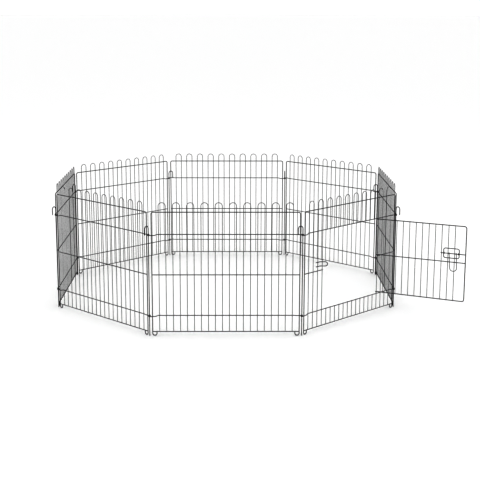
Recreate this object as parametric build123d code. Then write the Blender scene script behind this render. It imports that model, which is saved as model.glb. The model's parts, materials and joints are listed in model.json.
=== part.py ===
from build123d import *
import os
from math import cos, radians, sin, sqrt, tan

os.makedirs("parts", exist_ok=True)

# Ring of wire panels: millimetres and degrees, floor at z = 0, ring centre at the origin, door at the front (-Y)
panel_count = 8
panel_width = 610.0                 # hinge pin to hinge pin
panel_turn = 360.0 / panel_count
ring_inradius = panel_width / 2 / tan(radians(panel_turn / 2))

# Wire radii
frame_wire = 1.6
rail_wire = 1.5
bar_wire = 1.05
pin_wire = 1.6
stake_wire = 1.5
handle_wire = 1.25
running_gap = 0.35                  # between a pin and the eyes that turn on it
door_gap = 0.3                      # between the jamb bar and the door's eyes

# Heights above the floor
bottom_rail_height = 17.0
lower_hinge_rail_height = 84.0
mid_rail_height = 251.0
upper_hinge_rail_height = 415.0
top_rail_height = 504.0
arch_height = 541.5
eye_drop = 4.0                      # left eye under the right eye of the next panel

# Along a panel, measured from its left pin as seen from outside
left_upright = 12.0
right_upright = 600.0
pitch_count = 21
pitch = (right_upright - left_upright) / pitch_count
arch_count = 10
frame_bend = 8.0
foot_radius = 8.5
crank_far = 24.0                    # where a hinge rail starts to step out, from the upright
crank_near = 10.0                   # where it has stepped out
crank_bend = 6.0

# Depths across a panel, inwards from the line through its pins
eye_radius = pin_wire + running_gap + rail_wire
frame_depth = rail_wire + frame_wire - eye_radius
bar_depth = frame_depth + frame_wire + bar_wire
rail_depth = bar_depth - bar_wire - rail_wire

# Hinge pins
stake_length = 60.0                 # slimmer free lower end, pushed into soft ground
stake_shoulder = 1.0                # cone between stake and shank
hook_height = 449.5
hook_radius = 11.0
hook_directions = [-97.0, 165.0, 45.0, -15.0, 197.0, 195.0, 190.0, 165.0]

# Doorway and door, measured along the door from its jamb bar
latch_bar = 4                       # bar beside the keeper
jamb_bar = 17                       # bar that the door hangs on
door_bar_count = 12
door_width = 382.0
door_top = 410.0
door_bottom = 91.0
door_mid_height = 255.0
door_open_angle = 108.5             # from flat against the panel to the position shown
door_bend = 9.0
door_eye_sweep = 255.0
door_eye_radius = bar_wire + door_gap + frame_wire
door_rail_eye_radius = bar_wire + door_gap + rail_wire
door_bar_depth = door_eye_radius - frame_wire - bar_wire

# Latch: short rail, sliding loop, swinging handle and the keeper hairpin
short_rail_height = 291.0
short_rail_bar = 10
short_rail_tail = 3.0
loop_start = 288.0
loop_end = 354.0
loop_above = 21.0
loop_below = 20.0
loop_bend = 8.0
guide_radius = rail_wire + door_gap + handle_wire
loop_depth = door_rail_eye_radius + 2 * rail_wire + 0.15
handle_start = 311.5
handle_width = 30.0
handle_length = 82.0
handle_tilt = 12.0                  # it hangs over the loop's lower wire
handle_eye_sweep = 250.0
keeper_low = 269.2
keeper_spread = 17.5
keeper_start = 82.0
keeper_bend_at = 107.5
keeper_reach = 21.0                 # outwards, and as far towards the jamb
keeper_bend = 4.0


def bend_points(points, bend):
    """Edges through the points, with every corner rounded to the bend radius."""
    corners = [Vector(*point) for point in points]
    edges = []
    start = corners[0]
    for before, corner, after in zip(corners, corners[1:], corners[2:]):
        back = (before - corner).normalized()
        ahead = (after - corner).normalized()
        half_angle = radians(back.get_angle(ahead) / 2)
        middle = (back + ahead).normalized()
        arc_start = corner + back * (bend / tan(half_angle))
        arc_middle = corner + middle * (bend / sin(half_angle) - bend)
        arc_end = corner + ahead * (bend / tan(half_angle))
        edges.append(Edge.make_line(start, arc_start))
        edges.append(Edge.make_three_point_arc(arc_start, arc_middle, arc_end))
        start = arc_end
    edges.append(Edge.make_line(start, corners[-1]))
    return edges


def arc_edges(plane, radius, first, last):
    """Two arc edges round the plane's origin, from the first angle to the last."""
    edges = []
    half = (first + last) / 2
    for a, b in ((first, half), (half, last)):
        ends = []
        for angle in (a, (a + b) / 2, b):
            local = Vector(radius * cos(radians(angle)), radius * sin(radians(angle)), 0)
            ends.append(plane.from_local_coords(local))
        edges.append(Edge.make_three_point_arc(*ends))
    return edges


def round_wire(edges, radius):
    """A round wire of the given radius along the edges."""
    path = Wire(edges)
    section = Plane(origin=path.position_at(0), z_dir=path.tangent_at(0)) * Circle(radius)
    return sweep(section, path=path).solid()


def straight_wire(start, end, radius):
    return round_wire([Edge.make_line(Vector(*start), Vector(*end))], radius)


def level_plane(x, y, z):
    return Plane(origin=(x, y, z))


def bar_x(number):
    return left_upright + number * pitch


def panel_place(index):
    """From a panel's own frame (left pin at its origin, x to the right pin, y inwards) to the ring."""
    turn = Location((0, 0, 0), (0, 0, panel_turn * index))
    return turn * Location((-panel_width / 2, -ring_inradius, 0))


def panel_frame():
    """Top rail and both uprights in one wire, each lower end curled inwards as a foot."""
    low = frame_wire + foot_radius
    tail_top = bottom_rail_height - rail_wire
    left_foot = Plane(origin=(left_upright + foot_radius, frame_depth, low), z_dir=(0, -1, 0), x_dir=(1, 0, 0))
    right_foot = Plane(origin=(right_upright - foot_radius, frame_depth, low), z_dir=(0, -1, 0), x_dir=(1, 0, 0))
    left_tail = left_upright + 2 * foot_radius
    right_tail = right_upright - 2 * foot_radius
    edges = [Edge.make_line((left_tail, frame_depth, tail_top), (left_tail, frame_depth, low))]
    edges += arc_edges(left_foot, foot_radius, 0, -180)
    edges += bend_points(
        [
            (left_upright, frame_depth, low),
            (left_upright, frame_depth, top_rail_height),
            (right_upright, frame_depth, top_rail_height),
            (right_upright, frame_depth, low),
        ],
        frame_bend,
    )
    edges += arc_edges(right_foot, foot_radius, 0, -180)
    edges.append(Edge.make_line((right_tail, frame_depth, low), (right_tail, frame_depth, tail_top)))
    return [round_wire(edges, frame_wire)]


def hinge_rail(height):
    """Rail that steps out past both uprights and ends in an eye round each pin, the left eye lower."""
    low = height - eye_drop
    outside = -eye_radius
    points = [
        (0, outside, low),
        (left_upright + crank_near, outside, low),
        (left_upright + crank_far, rail_depth, height),
        (right_upright - crank_far, rail_depth, height),
        (right_upright - crank_near, outside, height),
        (panel_width, outside, height),
    ]
    edges = arc_edges(level_plane(0, 0, low), eye_radius, 0, 270)
    edges += bend_points(points, crank_bend)
    edges += arc_edges(level_plane(panel_width, 0, height), eye_radius, -90, 180)
    return round_wire(edges, rail_wire)


def cross_rail(start, end, height):
    return straight_wire((start, rail_depth, height), (end, rail_depth, height), rail_wire)


def arch(first_bar, foot_height):
    """Two neighbouring bars in one wire, joined by a half circle above the top rail."""
    left = bar_x(first_bar)
    right = bar_x(first_bar + 1)
    spring = arch_height - pitch / 2
    crown = Plane(origin=((left + right) / 2, bar_depth, spring), z_dir=(0, -1, 0), x_dir=(1, 0, 0))
    edges = [Edge.make_line((left, bar_depth, foot_height), (left, bar_depth, spring))]
    edges += arc_edges(crown, pitch / 2, 180, 0)
    edges.append(Edge.make_line((right, bar_depth, spring), (right, bar_depth, foot_height)))
    return round_wire(edges, bar_wire)


def arches(doorway):
    """Every arch of a panel; over the doorway they stop at the upper hinge rail."""
    solids = []
    for number in range(arch_count):
        first_bar = 1 + 2 * number
        over_door = doorway and latch_bar < first_bar < jamb_bar - 1
        end_rail = upper_hinge_rail_height if over_door else bottom_rail_height
        solids.append(arch(first_bar, end_rail - rail_wire))
    return solids


def sill_bars():
    """Short bars under the doorway."""
    low = bottom_rail_height - rail_wire
    high = lower_hinge_rail_height + rail_wire
    numbers = range(latch_bar + 1, jamb_bar)
    return [straight_wire((bar_x(n), bar_depth, low), (bar_x(n), bar_depth, high), bar_wire) for n in numbers]


def keeper():
    """Hairpin on the two bars beside the doorway, its closed end bent out towards the door."""
    slope = Vector(1, -1, 0).normalized()
    spread = keeper_spread / 2
    nose_centre = Vector(keeper_bend_at, frame_depth, keeper_low + spread)
    nose_centre += slope * (keeper_reach * sqrt(2) - spread)
    nose = Plane(origin=nose_centre, x_dir=slope, z_dir=slope.cross(Vector(0, 0, 1)))
    lower = [
        (keeper_start, frame_depth, keeper_low),
        (keeper_bend_at, frame_depth, keeper_low),
        (nose_centre.X, nose_centre.Y, keeper_low),
    ]
    upper = [(x, y, z + keeper_spread) for x, y, z in reversed(lower)]
    edges = bend_points(lower, keeper_bend)
    edges += arc_edges(nose, spread, -90, 90)
    edges += bend_points(upper, keeper_bend)
    return [round_wire(edges, frame_wire)]


def hinge_pin():
    """Long pin with a cane hook on top, hook towards +X; its lower end is the ground stake."""
    spring = hook_height - hook_radius
    crown = Plane(origin=(hook_radius, 0, spring), z_dir=(0, -1, 0), x_dir=(1, 0, 0))
    shank_start = stake_length + stake_shoulder
    edges = [Edge.make_line((0, 0, shank_start), (0, 0, spring))]
    edges += arc_edges(crown, hook_radius, 180, 0)
    tail = 2 * hook_radius
    edges.append(Edge.make_line((tail, 0, spring), (tail, 0, upper_hinge_rail_height)))
    stake = Solid.make_cylinder(stake_wire, stake_length)
    shoulder = Solid.make_cone(stake_wire, pin_wire, stake_shoulder, plane=Plane((0, 0, stake_length)))
    return [stake.fuse(shoulder, round_wire(edges, pin_wire)).solid()]


def door_frame():
    """Door outline in one wire: an eye round the jamb bar at each end, rounded free corners."""
    points = [
        (0, door_eye_radius, door_top),
        (door_width, door_eye_radius, door_top),
        (door_width, door_eye_radius, door_bottom),
        (0, door_eye_radius, door_bottom),
    ]
    edges = arc_edges(level_plane(0, 0, door_top), door_eye_radius, 90 + door_eye_sweep, 90)
    edges += bend_points(points, door_bend)
    edges += arc_edges(level_plane(0, 0, door_bottom), door_eye_radius, 90, 90 + door_eye_sweep)
    return [round_wire(edges, frame_wire)]


def door_mid_rail():
    depth = door_rail_eye_radius
    free_end = (door_width - frame_wire, depth, door_mid_height)
    edges = [Edge.make_line(free_end, (0, depth, door_mid_height))]
    edges += arc_edges(level_plane(0, 0, door_mid_height), depth, 90, 90 + door_eye_sweep)
    return [round_wire(edges, rail_wire)]


def door_bars():
    low = door_bottom - frame_wire
    high = door_top + frame_wire
    solids = []
    for number in range(1, door_bar_count + 1):
        along = number * pitch
        solids.append(straight_wire((along, door_bar_depth, low), (along, door_bar_depth, high), bar_wire))
    return solids


def latch_rail():
    start = short_rail_bar * pitch - bar_wire - short_rail_tail
    depth = door_rail_eye_radius
    end = door_width - frame_wire
    return [straight_wire((start, depth, short_rail_height), (end, depth, short_rail_height), rail_wire)]


def latch_loop():
    """Rounded rectangle that slides along the short rail."""
    low = short_rail_height - loop_below
    high = short_rail_height + loop_above
    middle = (loop_start + loop_end) / 2
    points = [
        (middle, loop_depth, low),
        (loop_end, loop_depth, low),
        (loop_end, loop_depth, high),
        (loop_start, loop_depth, high),
        (loop_start, loop_depth, low),
        (middle, loop_depth, low),
    ]
    return [round_wire(bend_points(points, loop_bend), rail_wire)]


def latch_guides():
    """Two rings round the short rail, welded inside the loop's short sides."""
    inset = rail_wire + handle_wire
    solids = []
    for along in (loop_start + inset, loop_end - inset):
        centre = Plane(origin=(along, door_rail_eye_radius, short_rail_height), z_dir=(1, 0, 0))
        solids.append(centre.location * Solid.make_torus(guide_radius, handle_wire))
    return solids


def latch_handle():
    """U-shaped pull: an eye round the short rail on each leg, hanging outside the loop."""
    half = handle_width / 2
    down = Vector(0, sin(radians(handle_tilt)), -cos(radians(handle_tilt)))
    out = Vector(0, cos(radians(handle_tilt)), sin(radians(handle_tilt)))
    left_eye = Vector(handle_start, door_rail_eye_radius, short_rail_height)
    right_eye = left_eye + Vector(handle_width, 0, 0)
    left_top = left_eye + out * guide_radius
    right_top = right_eye + out * guide_radius
    leg = handle_length - half
    turn = Plane(origin=left_top + down * leg + Vector(half, 0, 0), x_dir=(1, 0, 0), z_dir=out)
    side = -90 if turn.y_dir.dot(down) < 0 else 90
    left_plane = Plane(origin=left_eye, x_dir=out, z_dir=(1, 0, 0))
    right_plane = Plane(origin=right_eye, x_dir=out, z_dir=(1, 0, 0))
    back = handle_eye_sweep if left_plane.y_dir.dot(down) < 0 else -handle_eye_sweep
    edges = arc_edges(left_plane, guide_radius, back, 0)
    edges.append(Edge.make_line(left_top, left_top + down * leg))
    edges += arc_edges(turn, half, 2 * side, 0)
    edges.append(Edge.make_line(right_top + down * leg, right_top))
    edges += arc_edges(right_plane, guide_radius, 0, back)
    return [round_wire(edges, handle_wire)]


def save(name, solids, place):
    placed = [place * solid for solid in solids]
    shape = placed[0] if len(placed) == 1 else Compound(placed)
    export_step(shape, f"parts/{name}.step")


left_stop = left_upright + frame_wire
right_stop = right_upright - frame_wire
plain_panel = {
    "frame": panel_frame(),
    "hinge_rails": [hinge_rail(upper_hinge_rail_height), hinge_rail(lower_hinge_rail_height)],
    "mid_rail": [cross_rail(left_stop, right_stop, mid_rail_height)],
    "bottom_rail": [cross_rail(left_stop, right_stop, bottom_rail_height)],
    "arches": arches(doorway=False),
}
door_panel = dict(plain_panel)
door_panel["arches"] = arches(doorway=True)
door_panel["mid_rail"] = [
    cross_rail(left_stop, bar_x(latch_bar) + bar_wire, mid_rail_height),
    cross_rail(bar_x(jamb_bar) - bar_wire, right_stop, mid_rail_height),
]
door_panel["sill_bars"] = sill_bars()
door_panel["latch_keeper"] = keeper()

for index in range(panel_count):
    panel = plain_panel if index else door_panel
    for piece, solids in panel.items():
        save(f"panel_{index}_{piece}", solids, panel_place(index))

pin = hinge_pin()
for index, direction in enumerate(hook_directions):
    corner = panel_place(index) * Location((panel_width, 0, 0))
    save(f"hinge_pin_{index}", pin, Location(corner.position, (0, 0, direction)))

hinge_line = (bar_x(jamb_bar), bar_depth, 0)
door_place = panel_place(0) * Location(hinge_line, (0, 0, 180 + door_open_angle))
door_pieces = {
    "door_frame": door_frame(),
    "door_mid_rail": door_mid_rail(),
    "door_bars": door_bars(),
    "latch_rail": latch_rail(),
    "latch_loop": latch_loop(),
    "latch_guides": latch_guides(),
    "latch_handle": latch_handle(),
}
for name, solids in door_pieces.items():
    save(name, solids, door_place)
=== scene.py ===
import bpy
import json
from math import atan2, cos, degrees, pi, radians, sin, sqrt, tan
from mathutils import Matrix, Vector


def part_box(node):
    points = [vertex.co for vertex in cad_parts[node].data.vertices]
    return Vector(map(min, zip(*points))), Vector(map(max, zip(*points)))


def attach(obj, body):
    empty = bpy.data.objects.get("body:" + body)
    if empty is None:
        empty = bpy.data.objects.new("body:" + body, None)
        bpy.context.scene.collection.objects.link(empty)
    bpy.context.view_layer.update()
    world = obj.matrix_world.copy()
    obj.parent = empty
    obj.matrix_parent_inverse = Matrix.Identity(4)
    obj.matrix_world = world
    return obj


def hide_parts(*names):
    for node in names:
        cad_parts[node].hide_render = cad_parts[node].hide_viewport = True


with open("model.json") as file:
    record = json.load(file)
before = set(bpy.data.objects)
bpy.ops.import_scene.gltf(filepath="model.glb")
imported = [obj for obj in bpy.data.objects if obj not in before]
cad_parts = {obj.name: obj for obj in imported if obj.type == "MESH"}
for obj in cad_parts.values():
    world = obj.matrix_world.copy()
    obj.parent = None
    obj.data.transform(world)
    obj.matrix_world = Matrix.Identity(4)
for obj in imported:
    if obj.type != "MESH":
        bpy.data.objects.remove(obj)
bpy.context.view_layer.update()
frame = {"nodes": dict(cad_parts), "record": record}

mm = 0.001
panelCount = 8
joints = {joint["name"]: joint for joint in frame["record"]["behaviour"]["joints"]}


def clearSelection():
    if bpy.context.object and bpy.context.object.mode != "OBJECT":
        bpy.ops.object.mode_set(mode="OBJECT")
    bpy.ops.object.select_all(action="DESELECT")


def selectOnly(*pieces):
    clearSelection()
    for piece in pieces:
        piece.select_set(True)
    bpy.context.view_layer.objects.active = pieces[0]


clearSelection()
print("frame loaded:", len(frame["nodes"]), "nodes")

# black powder coat: colour where it lies thick, colour where it lies thin, roughness, ripple scale
coat = {
    "frameCoat": {
        "color": (0.020, 0.020, 0.021), "worn": (0.048, 0.048, 0.050),
        "rough": 0.36, "grain": 900,
    },
    "barCoat": {
        "color": (0.021, 0.021, 0.022), "worn": (0.050, 0.050, 0.052),
        "rough": 0.38, "grain": 1100,
    },
    "pinCoat": {
        "color": (0.017, 0.017, 0.018), "worn": (0.056, 0.056, 0.058),
        "rough": 0.30, "grain": 900,
    },
    "latchCoat": {
        "color": (0.018, 0.018, 0.019), "worn": (0.085, 0.085, 0.087),
        "rough": 0.32, "grain": 1000,
    },
    "weldCoat": {
        "color": (0.018, 0.018, 0.019), "worn": (0.040, 0.040, 0.041),
        "rough": 0.46, "grain": 1500,
    },
}
coatFilm = {
    "clear": 0.25, "clearRough": 0.22, "specular": 0.5,
    "peelDetail": 3.0, "peelStrength": 0.22, "peelDepth": 0.00012,
    "cloudScale": 28.0, "cloudDetail": 5.0, "thickAt": 0.42, "thinAt": 0.78,
    "glossFrom": 0.3, "glossTo": 0.7, "smoother": 0.06, "rougher": 0.10,
}


def powderCoat(name):
    look = coat[name]
    material = bpy.data.materials.new(name)
    material.use_nodes = True
    nodes = material.node_tree.nodes
    link = material.node_tree.links.new
    shader = nodes["Principled BSDF"]
    shader.inputs["Coat Weight"].default_value = coatFilm["clear"]
    shader.inputs["Coat Roughness"].default_value = coatFilm["clearRough"]
    shader.inputs["Specular IOR Level"].default_value = coatFilm["specular"]
    place = nodes.new("ShaderNodeTexCoord")

    orangePeel = nodes.new("ShaderNodeTexNoise")  # the fine ripple of baked powder
    orangePeel.inputs["Scale"].default_value = look["grain"]
    orangePeel.inputs["Detail"].default_value = coatFilm["peelDetail"]
    link(place.outputs["Object"], orangePeel.inputs["Vector"])
    bump = nodes.new("ShaderNodeBump")
    bump.inputs["Strength"].default_value = coatFilm["peelStrength"]
    bump.inputs["Distance"].default_value = coatFilm["peelDepth"]
    link(orangePeel.outputs["Fac"], bump.inputs["Height"])
    link(bump.outputs["Normal"], shader.inputs["Normal"])

    cloud = nodes.new("ShaderNodeTexNoise")  # slow change of thickness along the wire
    cloud.inputs["Scale"].default_value = coatFilm["cloudScale"]
    cloud.inputs["Detail"].default_value = coatFilm["cloudDetail"]
    link(place.outputs["Object"], cloud.inputs["Vector"])
    tint = nodes.new("ShaderNodeValToRGB")
    tint.color_ramp.elements[0].position = coatFilm["thickAt"]
    tint.color_ramp.elements[0].color = (*look["color"], 1)
    tint.color_ramp.elements[1].position = coatFilm["thinAt"]
    tint.color_ramp.elements[1].color = (*look["worn"], 1)
    link(cloud.outputs["Fac"], tint.inputs["Fac"])
    link(tint.outputs["Color"], shader.inputs["Base Color"])
    gloss = nodes.new("ShaderNodeMapRange")
    gloss.inputs["From Min"].default_value = coatFilm["glossFrom"]
    gloss.inputs["From Max"].default_value = coatFilm["glossTo"]
    gloss.inputs["To Min"].default_value = look["rough"] - coatFilm["smoother"]
    gloss.inputs["To Max"].default_value = look["rough"] + coatFilm["rougher"]
    link(cloud.outputs["Fac"], gloss.inputs["Value"])
    link(gloss.outputs["Result"], shader.inputs["Roughness"])
    return material


finish = {name: powderCoat(name) for name in coat}
print("materials ready:", len(finish))

# wire work in mm: a route is a list of points down the middle of one wire
wire = {
    "frame": 1.6, "rail": 1.5, "bar": 1.05, "pin": 1.6, "handle": 1.25,  # radii
    "sides": {1.6: 3, 1.5: 3, 1.25: 2, 1.05: 2},  # bevel resolution by radius
    "arcStep": 10.0,  # degrees between rings in a bend
    "samePoint": 0.001, "weldDistance": 0.0005,
    "cutRounding": 0.3, "cutSegments": 2, "cutAngle": 70.0,  # softened edge of a sheared end
    "smoothAngle": 50.0,
}


def roundCorners(points, bend):  # every corner between the ends becomes an arc of radius bend
    corners = [Vector(point) for point in points]
    route = [corners[0]]
    for before, corner, after in zip(corners, corners[1:], corners[2:]):
        back = (before - corner).normalized()
        ahead = (after - corner).normalized()
        half = back.angle(ahead) / 2
        middle = (back + ahead).normalized()
        centre = corner + middle * (bend / sin(half))
        first = (corner + back * (bend / tan(half))) - centre
        last = (corner + ahead * (bend / tan(half))) - centre
        turn = first.angle(last)
        steps = max(2, round(degrees(turn) / wire["arcStep"]) + 1)
        axis = first.cross(last)
        route += [centre + Matrix.Rotation(turn * s / steps, 3, axis) @ first for s in range(steps + 1)]
    return route + [corners[-1]]


def arcPoints(centre, across, up, radius, first, last):
    steps = max(2, round(abs(last - first) / wire["arcStep"]))
    angles = [radians(first + (last - first) * s / steps) for s in range(steps + 1)]
    return [Vector(centre) + (Vector(across) * cos(a) + Vector(up) * sin(a)) * radius for a in angles]


def sweptWire(name, routes, radius):
    curve = bpy.data.curves.new(name, "CURVE")  # sizes in mm until the mesh is placed
    curve.dimensions = "3D"
    curve.bevel_depth = radius
    curve.bevel_resolution = wire["sides"][radius]
    curve.use_fill_caps = True
    for route in routes:
        kept = [route[0]]
        for point in route[1:]:
            if (point - kept[-1]).length > wire["samePoint"]:
                kept.append(point)
        closed = (kept[0] - kept[-1]).length < wire["samePoint"]
        if closed:
            kept.pop()
        spline = curve.splines.new("POLY")
        spline.use_cyclic_u = closed
        spline.points.add(len(kept) - 1)
        for spot, point in zip(spline.points, kept):
            spot.co = (*point, 1)
    piece = bpy.data.objects.new(name, curve)
    bpy.context.scene.collection.objects.link(piece)
    selectOnly(piece)
    bpy.ops.object.convert(target="MESH")
    piece = bpy.context.object
    piece.name = name
    bpy.ops.object.mode_set(mode="EDIT")
    bpy.ops.mesh.select_all(action="SELECT")
    bpy.ops.mesh.remove_doubles(threshold=wire["weldDistance"])
    bpy.ops.mesh.normals_make_consistent(inside=False)
    bpy.ops.object.mode_set(mode="OBJECT")
    soften = piece.modifiers.new("softenedCut", "BEVEL")
    soften.width = wire["cutRounding"]
    soften.segments = wire["cutSegments"]
    soften.limit_method = "ANGLE"
    soften.angle_limit = radians(wire["cutAngle"])
    bpy.ops.object.modifier_apply(modifier=soften.name)
    bpy.ops.object.shade_smooth_by_angle(angle=radians(wire["smoothAngle"]))
    return piece


def placeMesh(piece, matrix):
    piece.data.transform(matrix)
    piece.data.update()


def copyPiece(piece, name):
    selectOnly(piece)
    bpy.ops.object.duplicate(linked=False)
    twin = bpy.context.object
    twin.name = name
    return twin


def finishPiece(piece, coatName, body, node=None):
    piece.data.materials.clear()
    piece.data.materials.append(finish[coatName])
    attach(piece, body)
    if node:
        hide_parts(node)


# one panel: x from its left pin to its right pin, y inwards, z up, in mm
panel = {
    "width": 610.0,
    "leftUpright": 12.0, "rightUpright": 600.0, "pitches": 21, "arches": 10,
    "bottomRail": 17.0, "lowerHingeRail": 84.0, "midRail": 251.0, "upperHingeRail": 415.0,
    "topRail": 504.0, "archTop": 541.5,
    "frameBend": 8.0, "footRadius": 8.5, "runningGap": 0.35, "eyeDrop": 4.0,
    "crankFar": 24.0, "crankNear": 10.0, "crankBend": 6.0,
    "latchBar": 4, "jambBar": 17,  # the doorway lies between these bars
}
pitch = (panel["rightUpright"] - panel["leftUpright"]) / panel["pitches"]
inradius = panel["width"] / 2 / tan(pi / panelCount)
eyeRadius = wire["pin"] + panel["runningGap"] + wire["rail"]
frameDepth = wire["rail"] + wire["frame"] - eyeRadius
barDepth = frameDepth + wire["frame"] + wire["bar"]
railDepth = barDepth - wire["bar"] - wire["rail"]
inX, inY, inZ = Vector((1, 0, 0)), Vector((0, 1, 0)), Vector((0, 0, 1))


def barX(number):
    return panel["leftUpright"] + number * pitch


def panelPlace(index):
    turn = Matrix.Rotation(2 * pi * index / panelCount, 4, "Z")
    return Matrix.Scale(mm, 4) @ turn @ Matrix.Translation((-panel["width"] / 2, -inradius, 0))


def frameRoute():
    low = wire["frame"] + panel["footRadius"]
    tail = panel["bottomRail"] - wire["rail"]
    foot = panel["footRadius"]
    left, right = panel["leftUpright"], panel["rightUpright"]
    route = [Vector((left + 2 * foot, frameDepth, tail))]
    route += arcPoints((left + foot, frameDepth, low), inX, inZ, foot, 0, -180)
    route += roundCorners([
        (left, frameDepth, low), (left, frameDepth, panel["topRail"]),
        (right, frameDepth, panel["topRail"]), (right, frameDepth, low)], panel["frameBend"])
    route += arcPoints((right - foot, frameDepth, low), inX, inZ, foot, 0, -180)
    route.append(Vector((right - 2 * foot, frameDepth, tail)))
    return route


def hingeRailRoute(height):
    low, out = height - panel["eyeDrop"], -eyeRadius
    left, right = panel["leftUpright"], panel["rightUpright"]
    route = arcPoints((0, 0, low), inX, inY, eyeRadius, 0, 270)
    route += roundCorners([(0, out, low), (left + panel["crankNear"], out, low),
                           (left + panel["crankFar"], railDepth, height),
                           (right - panel["crankFar"], railDepth, height),
                           (right - panel["crankNear"], out, height),
                           (panel["width"], out, height)], panel["crankBend"])
    route += arcPoints((panel["width"], 0, height), inX, inY, eyeRadius, -90, 180)
    return route


def crossRoute(start, end, height):
    return [Vector((start, railDepth, height)), Vector((end, railDepth, height))]


def archRoute(firstBar, footHeight):
    left, right = barX(firstBar), barX(firstBar + 1)
    spring = panel["archTop"] - pitch / 2
    route = [Vector((left, barDepth, footHeight))]
    route += arcPoints(((left + right) / 2, barDepth, spring), inX, inZ, pitch / 2, 180, 0)
    route.append(Vector((right, barDepth, footHeight)))
    return route


def archRoutes(doorway):
    routes = []
    for number in range(panel["arches"]):
        firstBar = 1 + 2 * number
        overDoor = doorway and panel["latchBar"] < firstBar < panel["jambBar"] - 1
        endRail = panel["upperHingeRail"] if overDoor else panel["bottomRail"]
        routes.append(archRoute(firstBar, endRail - wire["rail"]))
    return routes


keeper = {"low": 269.2, "spread": 17.5, "start": 82.0, "bendAt": 107.5, "reach": 21.0, "bend": 4.0}


def keeperRoute():
    slope = Vector((1, -1, 0)).normalized()
    half = keeper["spread"] / 2
    nose = Vector((keeper["bendAt"], frameDepth, keeper["low"] + half))
    nose += slope * (keeper["reach"] * sqrt(2) - half)
    lower = [(keeper["start"], frameDepth, keeper["low"]), (keeper["bendAt"], frameDepth, keeper["low"]),
             (nose.x, nose.y, keeper["low"])]
    upper = [(x, y, z + keeper["spread"]) for x, y, z in reversed(lower)]
    route = roundCorners(lower, keeper["bend"])
    route += arcPoints(nose, slope, inZ, half, -90, 90)
    return route + roundCorners(upper, keeper["bend"])


leftStop = panel["leftUpright"] + wire["frame"]
rightStop = panel["rightUpright"] - wire["frame"]
hingeRailRoutes = [hingeRailRoute(panel["upperHingeRail"]), hingeRailRoute(panel["lowerHingeRail"])]
midRoute = crossRoute(leftStop, rightStop, panel["midRail"])
bottomRoute = crossRoute(leftStop, rightStop, panel["bottomRail"])
plainPanel = {
    "frame": (sweptWire("panelFrame", [frameRoute()], wire["frame"]), "frameCoat"),
    "hinge_rails": (sweptWire("hingeRails", hingeRailRoutes, wire["rail"]), "frameCoat"),
    "mid_rail": (sweptWire("midRail", [midRoute], wire["rail"]), "frameCoat"),
    "bottom_rail": (sweptWire("bottomRail", [bottomRoute], wire["rail"]), "frameCoat"),
    "arches": (sweptWire("arches", archRoutes(False), wire["bar"]), "barCoat"),
}
stubRoutes = [
    crossRoute(leftStop, barX(panel["latchBar"]) + wire["bar"], panel["midRail"]),
    crossRoute(barX(panel["jambBar"]) - wire["bar"], rightStop, panel["midRail"])]
sillLow, sillHigh = panel["bottomRail"] - wire["rail"], panel["lowerHingeRail"] + wire["rail"]
sillRoutes = [
    [Vector((barX(number), barDepth, sillLow)), Vector((barX(number), barDepth, sillHigh))]
    for number in range(panel["latchBar"] + 1, panel["jambBar"])]
doorPanel = {
    "arches": (sweptWire("doorwayArches", archRoutes(True), wire["bar"]), "barCoat"),
    "mid_rail": (sweptWire("doorwayMidRail", stubRoutes, wire["rail"]), "frameCoat"),
    "sill_bars": (sweptWire("sillBars", sillRoutes, wire["bar"]), "barCoat"),
    "latch_keeper": (sweptWire("latchKeeper", [keeperRoute()], wire["frame"]), "latchCoat"),
}
print("panel wires modelled")

# spot welds: a squeezed nugget wherever two wires cross; half sizes along the rail, up and across
weld = {"length": 1.5, "height": 1.25, "depth": 1.05, "around": 8, "rings": 6}


def weldBeads(name, spots):
    bpy.ops.mesh.primitive_uv_sphere_add(segments=weld["around"], ring_count=weld["rings"], radius=1)
    bead = bpy.context.object
    placeMesh(bead, Matrix.Diagonal((weld["length"], weld["depth"], weld["height"], 1)))
    beads = []
    for spot in spots:
        twin = bead.copy()
        twin.data = bead.data.copy()
        bpy.context.scene.collection.objects.link(twin)
        placeMesh(twin, Matrix.Translation(spot))
        beads.append(twin)
    bpy.data.objects.remove(bead)
    selectOnly(*beads)
    bpy.ops.object.join()
    piece = bpy.context.object
    piece.name = name
    bpy.ops.object.shade_smooth()
    return piece


def panelWelds(doorway):
    touch = barDepth - wire["bar"]  # where bar and rail meet
    rails = ["bottomRail", "lowerHingeRail", "midRail", "upperHingeRail", "topRail"]
    spots = []
    for number in range(1, 2 * panel["arches"] + 1):
        inDoorway = doorway and panel["latchBar"] < number < panel["jambBar"]
        for rail in rails:
            if not (inDoorway and rail == "midRail"):
                spots.append(Vector((barX(number), touch, panel[rail])))
    outside = frameDepth - wire["frame"]
    for upright in (panel["leftUpright"], panel["rightUpright"]):
        drop = panel["eyeDrop"] if upright == panel["leftUpright"] else 0
        for rail in ("lowerHingeRail", "upperHingeRail"):
            spots.append(Vector((upright, outside, panel[rail] - drop)))
        inward = 1 if upright == panel["leftUpright"] else -1
        for rail in ("bottomRail", "midRail"):
            spots.append(Vector((upright + inward * wire["frame"], railDepth, panel[rail])))
        spots.append(Vector((upright + inward * 2 * panel["footRadius"], frameDepth,
                             panel["bottomRail"] - wire["rail"])))
    if doorway:
        for height in (keeper["low"], keeper["low"] + keeper["spread"]):
            spots.append(Vector((barX(panel["latchBar"] - 1), touch, height)))
    return spots


plainPanel["welds"] = (weldBeads("panelWelds", panelWelds(False)), "weldCoat")
doorPanel["welds"] = (weldBeads("doorwayWelds", panelWelds(True)), "weldCoat")

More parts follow.
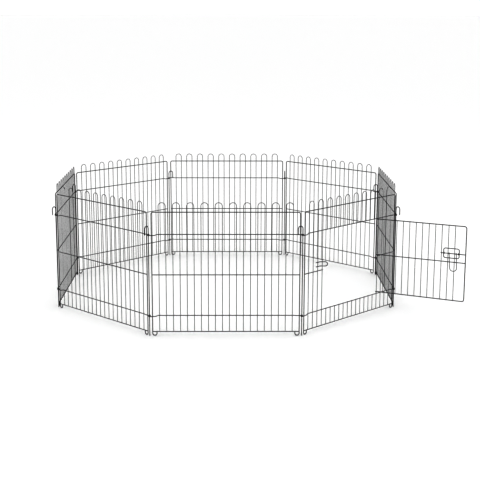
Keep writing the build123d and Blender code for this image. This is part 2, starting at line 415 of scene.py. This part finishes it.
for index in range(panelCount):
    body = f"panel_{index}" if index else "door_panel"
    wires = dict(plainPanel) if index else {**plainPanel, **doorPanel}
    for part, (master, coatName) in wires.items():
        piece = copyPiece(master, f"panel{index}_{part}")
        placeMesh(piece, panelPlace(index))
        node = None if part == "welds" else f"panel_{index}_{part}"
        finishPiece(piece, coatName, body, node)
for master, coatName in list(plainPanel.values()) + list(doorPanel.values()):
    bpy.data.objects.remove(master)
print("panels placed:", panelCount)

# hinge pins: a long rod with a cane hook on top and a slimmer stake below
pin = {
    "hookTop": 449.5, "hookRadius": 11.0, "tailEnd": 415.0,
    "stake": 60.0, "shoulder": 1.0, "stakeRadius": 1.5,
}


def pinRoute():
    spring = pin["hookTop"] - pin["hookRadius"]
    route = [Vector((0, 0, height)) for height in (0, pin["stake"], pin["stake"] + pin["shoulder"])]
    route += arcPoints((pin["hookRadius"], 0, spring), inX, inZ, pin["hookRadius"], 180, 0)
    route.append(Vector((2 * pin["hookRadius"], 0, pin["tailEnd"])))
    return route


pinMaster = sweptWire("hingePin", [pinRoute()], wire["pin"])
slim = pin["stakeRadius"] / wire["pin"]
for vertex in pinMaster.data.vertices:
    if vertex.co.z < pin["stake"] + pin["shoulder"] / 2:
        vertex.co.x *= slim
        vertex.co.y *= slim
for index in range(panelCount):
    node = f"hinge_pin_{index}"
    low, high = (Vector(corner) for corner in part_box(node))
    turn = 2 * pi * (index + 0.5) / panelCount - pi / 2
    ringRadius = inradius / cos(pi / panelCount)
    foot = Vector((cos(turn), sin(turn), 0)) * ringRadius
    far = (low + high) / 2 / mm - foot  # the box's middle lies on the hook's side
    piece = copyPiece(pinMaster, f"hingePin{index}")
    aim = Matrix.Rotation(atan2(far.y, far.x), 4, "Z")
    placeMesh(piece, Matrix.Scale(mm, 4) @ Matrix.Translation(foot) @ aim)
    finishPiece(piece, "pinCoat", f"pin_{index}", node)
bpy.data.objects.remove(pinMaster)
print("hinge pins placed")

# door: x from the jamb bar to the free edge, y outwards when shut, z up, in mm
door = {
    "width": 382.0, "top": 410.0, "bottom": 91.0, "midRail": 255.0, "bars": 12,
    "bend": 9.0, "gap": 0.3, "eyeSweep": 255.0,
    "shortRail": 291.0, "shortRailBar": 10, "shortRailTail": 3.0,
}
frameEye = wire["bar"] + door["gap"] + wire["frame"]
railEye = wire["bar"] + door["gap"] + wire["rail"]
doorBarDepth = frameEye - wire["frame"] - wire["bar"]
doorSwing = joints["door_swing"]["pos_m"]
slideAxis = Vector(joints["latch_slide"]["axis"])
doorTurn = Matrix.Rotation(atan2(slideAxis.y, slideAxis.x), 4, "Z")
doorPlace = Matrix.Translation((doorSwing[0], doorSwing[1], 0)) @ doorTurn @ Matrix.Scale(mm, 4)


def doorFrameRoute():
    top, bottom = door["top"], door["bottom"]
    route = arcPoints((0, 0, top), inX, inY, frameEye, 90 + door["eyeSweep"], 90)
    route += roundCorners([(0, frameEye, top), (door["width"], frameEye, top),
                           (door["width"], frameEye, bottom), (0, frameEye, bottom)], door["bend"])
    return route + arcPoints((0, 0, bottom), inX, inY, frameEye, 90, 90 + door["eyeSweep"])


def doorMidRoute():
    route = [Vector((door["width"] - wire["frame"], railEye, door["midRail"]))]
    return route + arcPoints((0, 0, door["midRail"]), inX, inY, railEye, 90, 90 + door["eyeSweep"])


def doorBarRoutes():
    low, high = door["bottom"] - wire["frame"], door["top"] + wire["frame"]
    return [
        [Vector((number * pitch, doorBarDepth, low)), Vector((number * pitch, doorBarDepth, high))]
        for number in range(1, door["bars"] + 1)]


def shortRailRoute():
    start = door["shortRailBar"] * pitch - wire["bar"] - door["shortRailTail"]
    return [Vector((start, railEye, door["shortRail"])),
            Vector((door["width"] - wire["frame"], railEye, door["shortRail"]))]


def doorWelds():
    touch = doorBarDepth + wire["bar"]
    spots = []
    for number in range(1, door["bars"] + 1):
        for height in (door["bottom"], door["midRail"], door["top"]):
            spots.append(Vector((number * pitch, touch, height)))
        if number >= door["shortRailBar"]:
            spots.append(Vector((number * pitch, touch, door["shortRail"])))
    for height in (door["midRail"], door["shortRail"]):
        spots.append(Vector((door["width"] - wire["frame"], railEye, height)))
    return spots


# latch, in the door's own frame: sliding loop, its guide rings and the U-shaped pull
latch = {
    "start": 288.0, "end": 354.0, "above": 21.0, "below": 20.0, "bend": 8.0, "gap": 0.3, "lift": 0.15,
    "pullStart": 311.5, "pullWidth": 30.0, "pullLength": 82.0, "pullTilt": 12.0, "pullEyeSweep": 250.0,
    "guideGap": 7.0,
}
guideRadius = wire["rail"] + latch["gap"] + wire["handle"]
loopDepth = railEye + 2 * wire["rail"] + latch["lift"]


def latchLoop():
    low, high = door["shortRail"] - latch["below"], door["shortRail"] + latch["above"]
    middle = (latch["start"] + latch["end"]) / 2
    route = roundCorners([
        (middle, loopDepth, low), (latch["end"], loopDepth, low), (latch["end"], loopDepth, high),
        (latch["start"], loopDepth, high), (latch["start"], loopDepth, low),
        (middle, loopDepth, low)], latch["bend"])
    return sweptWire("latchLoop", [route], wire["rail"])


def latchGuides():
    inset = wire["rail"] + wire["handle"]
    routes = []
    for along in (latch["start"] + inset, latch["end"] - inset):
        centre = (along, railEye, door["shortRail"])
        first = 180 + latch["guideGap"]  # the cut faces the pen
        routes.append(arcPoints(centre, inY, inZ, guideRadius, first, first + 360 - 2 * latch["guideGap"]))
    return sweptWire("latchGuides", routes, wire["handle"])


def latchPull():
    tilt, half = radians(latch["pullTilt"]), latch["pullWidth"] / 2
    down = Vector((0, sin(tilt), -cos(tilt)))
    out = Vector((0, cos(tilt), sin(tilt)))
    leftEye = Vector((latch["pullStart"], railEye, door["shortRail"]))
    rightEye = leftEye + inX * latch["pullWidth"]
    leg = latch["pullLength"] - half
    turnCentre = leftEye + out * guideRadius + down * leg + inX * half
    route = arcPoints(leftEye, out, -down, guideRadius, latch["pullEyeSweep"], 0)
    route += arcPoints(turnCentre, inX, down, half, 180, 0)
    route += arcPoints(rightEye, out, -down, guideRadius, 0, latch["pullEyeSweep"])
    return sweptWire("latchPull", [route], wire["handle"])


def latchWelds():
    spots = []
    for along in (latch["start"] + wire["rail"], latch["end"] - wire["rail"]):
        spots.append(Vector((along, loopDepth, door["shortRail"])))
    return spots


doorPieces = [
    (sweptWire("doorFrame", [doorFrameRoute()], wire["frame"]), "frameCoat", "door", "door_frame"),
    (sweptWire("doorMidRail", [doorMidRoute()], wire["rail"]), "frameCoat", "door", "door_mid_rail"),
    (sweptWire("doorBars", doorBarRoutes(), wire["bar"]), "barCoat", "door", "door_bars"),
    (sweptWire("latchRail", [shortRailRoute()], wire["rail"]), "frameCoat", "door", "latch_rail"),
    (weldBeads("doorWelds", doorWelds()), "weldCoat", "door", None),
    (latchLoop(), "latchCoat", "latch_bolt", "latch_loop"),
    (latchGuides(), "latchCoat", "latch_bolt", "latch_guides"),
    (weldBeads("latchWelds", latchWelds()), "weldCoat", "latch_bolt", None),
    (latchPull(), "latchCoat", "latch_pull", "latch_handle"),
]
for piece, coatName, body, node in doorPieces:
    placeMesh(piece, doorPlace)
    finishPiece(piece, coatName, body, node)
print("door and latch modelled")

# pale floor, even white sky and two large soft lights
studio = {
    "floorSize": 400.0, "floorDrop": 0.0005, "floorColor": (0.93, 0.93, 0.93),
    "floorRough": 0.9, "floorSpecular": 0.1, "sky": 1.07,
    "power": 40.0, "size": 5.0,
    "lights": (("keyLight", (-3.5, -2.2, 4.2), 1.0), ("fillLight", (2.8, -3.4, 3.4), 0.45)),
    "gamma": 0.5,  # thin wires stay dark against the white
}


def paleFloor():
    clearSelection()
    bpy.ops.mesh.primitive_plane_add(size=studio["floorSize"], location=(0, 0, -studio["floorDrop"]))
    floor = bpy.context.object
    floor.name = "studioFloor"
    material = bpy.data.materials.new("paleFloor")
    material.use_nodes = True
    shader = material.node_tree.nodes["Principled BSDF"]
    shader.inputs["Base Color"].default_value = (*studio["floorColor"], 1)
    shader.inputs["Roughness"].default_value = studio["floorRough"]
    shader.inputs["Specular IOR Level"].default_value = studio["floorSpecular"]
    floor.data.materials.append(material)


def softLight():
    world = bpy.data.worlds.new("paleSky")
    world.use_nodes = True
    world.node_tree.nodes["Background"].inputs["Color"].default_value = (1, 1, 1, 1)
    world.node_tree.nodes["Background"].inputs["Strength"].default_value = studio["sky"]
    bpy.context.scene.world = world
    for name, spot, share in studio["lights"]:
        light = bpy.data.lights.new(name, "AREA")
        light.size = studio["size"]
        light.energy = studio["power"] * share
        lamp = bpy.data.objects.new(name, light)
        bpy.context.scene.collection.objects.link(lamp)
        lamp.location = spot
        lamp.rotation_euler = (-Vector(spot)).to_track_quat("-Z", "Y").to_euler()


paleFloor()
softLight()
bpy.context.scene.view_settings.view_transform = "Standard"
bpy.context.scene.view_settings.gamma = studio["gamma"]

# camera before panel 7: metres aside, back from it and above the floor, then degrees and mm
eye = {
    "side": 0.0207, "back": 4.2122, "height": 1.2856,
    "aim": 44.51, "tilt": 11.97, "roll": 0.10, "lens": 81.8, "sensor": 36.0,
}


def camera():
    along, into = Vector((1, -1, 0)).normalized(), Vector((1, 1, 0)).normalized()
    spot = into * (-inradius * mm - eye["back"]) + along * eye["side"] + inZ * eye["height"]
    data = bpy.data.cameras.new("viewCamera")
    data.lens = eye["lens"]
    data.sensor_width = eye["sensor"]
    viewer = bpy.data.objects.new("viewCamera", data)
    bpy.context.scene.collection.objects.link(viewer)
    turn = Matrix.Rotation(radians(eye["aim"] - 90), 4, "Z")
    tilt = Matrix.Rotation(radians(90 - eye["tilt"]), 4, "X")
    roll = Matrix.Rotation(radians(eye["roll"]), 4, "Z")
    viewer.matrix_world = Matrix.Translation(spot) @ turn @ tilt @ roll
    bpy.context.scene.camera = viewer


camera()
print("studio ready")
